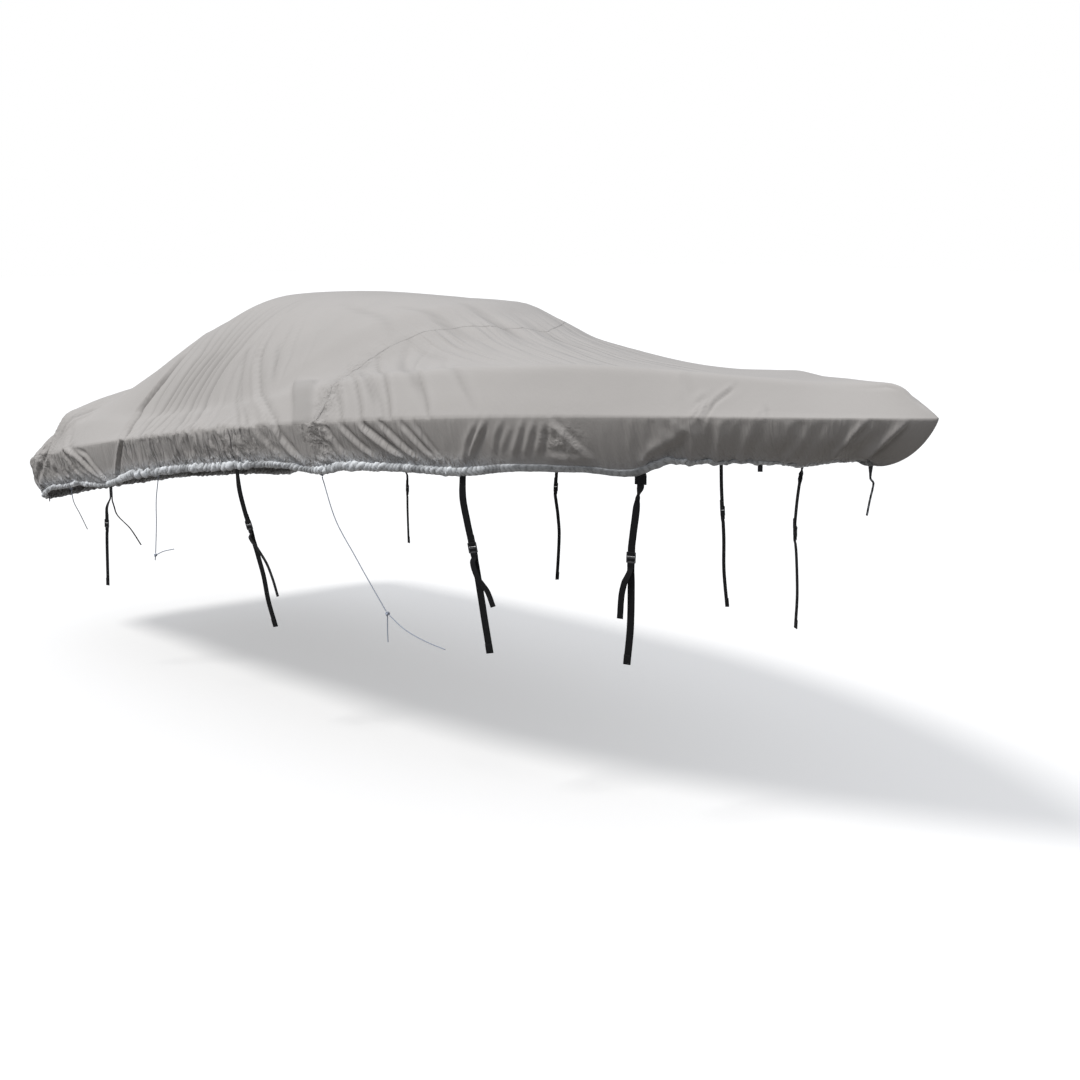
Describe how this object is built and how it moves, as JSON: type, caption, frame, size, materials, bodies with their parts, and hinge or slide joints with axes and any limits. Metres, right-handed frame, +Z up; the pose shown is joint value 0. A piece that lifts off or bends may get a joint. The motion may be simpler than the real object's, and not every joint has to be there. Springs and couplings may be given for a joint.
{
  "type": "boat cover",
  "caption": "Fitted trailering cover for an open motor boat: draped cloth from ridge to gathered hem, with webbing straps, buckles and cords.",
  "frame": {"origin": "the underside of the cloth on its ridge amidships, where the boat or its support pole holds the cover up", "axes": "+X to the bow, +Y to port, +Z up; the hull stands level, so the gunwale rises to the bow"},
  "size_m": [6.89, 2.4024, 1.83],
  "materials": {
    "cloth": "matt woven",
    "webbing": "matt woven webbing",
    "buckle": "matt moulded plastic",
    "pale_cord": "matt twisted cord"
  },
  "bodies": {
    "root": {"bow_cord": "webbing", "bow_quarter_buckle_port": "buckle", "bow_quarter_buckle_starboard": "buckle", "bow_quarter_lower_webbing_port": "webbing", "bow_quarter_lower_webbing_starboard": "webbing", "bow_quarter_tab_port": "webbing", "bow_quarter_tab_starboard": "webbing", "bow_quarter_tail_starboard": "webbing", "bow_quarter_webbing_port": "webbing", "bow_quarter_webbing_starboard": "webbing", "bow_tab": "webbing", "front_panel": "cloth", "hem_loop_1": "webbing", "hem_loop_2": "webbing", "midship_buckle_port": "buckle", "midship_buckle_starboard": "buckle", "midship_lower_webbing_port": "webbing", "midship_lower_webbing_starboard": "webbing", "midship_tail_starboard": "webbing", "midship_webbing_port": "webbing", "midship_webbing_starboard": "webbing", "quarter_buckle_port": "buckle", "quarter_buckle_starboard": "buckle", "quarter_lower_webbing_port": "webbing", "quarter_lower_webbing_starboard": "webbing", "quarter_tab_port": "webbing", "quarter_tab_starboard": "webbing", "quarter_tail_starboard": "webbing", "quarter_webbing_port": "webbing", "quarter_webbing_starboard": "webbing", "rear_panel": "cloth", "seam_cord": "pale_cord", "seam_cord_end_knot": "pale_cord", "seam_cord_knot": "pale_cord", "seam_cord_tail_1": "pale_cord", "seam_cord_tail_2": "pale_cord", "shoulder_buckle_port": "buckle", "shoulder_buckle_starboard": "buckle", "shoulder_lower_webbing_port": "webbing", "shoulder_lower_webbing_starboard": "webbing", "shoulder_tail_starboard": "webbing", "shoulder_webbing_port": "webbing", "shoulder_webbing_starboard": "webbing", "stern_cord": "pale_cord", "stern_cord_knot": "pale_cord", "thin_cord": "pale_cord", "thin_cord_end_knot": "pale_cord", "thin_cord_knot": "pale_cord", "thin_cord_tail_1": "pale_cord", "thin_cord_tail_2": "pale_cord"}
  },
  "joints": []
}
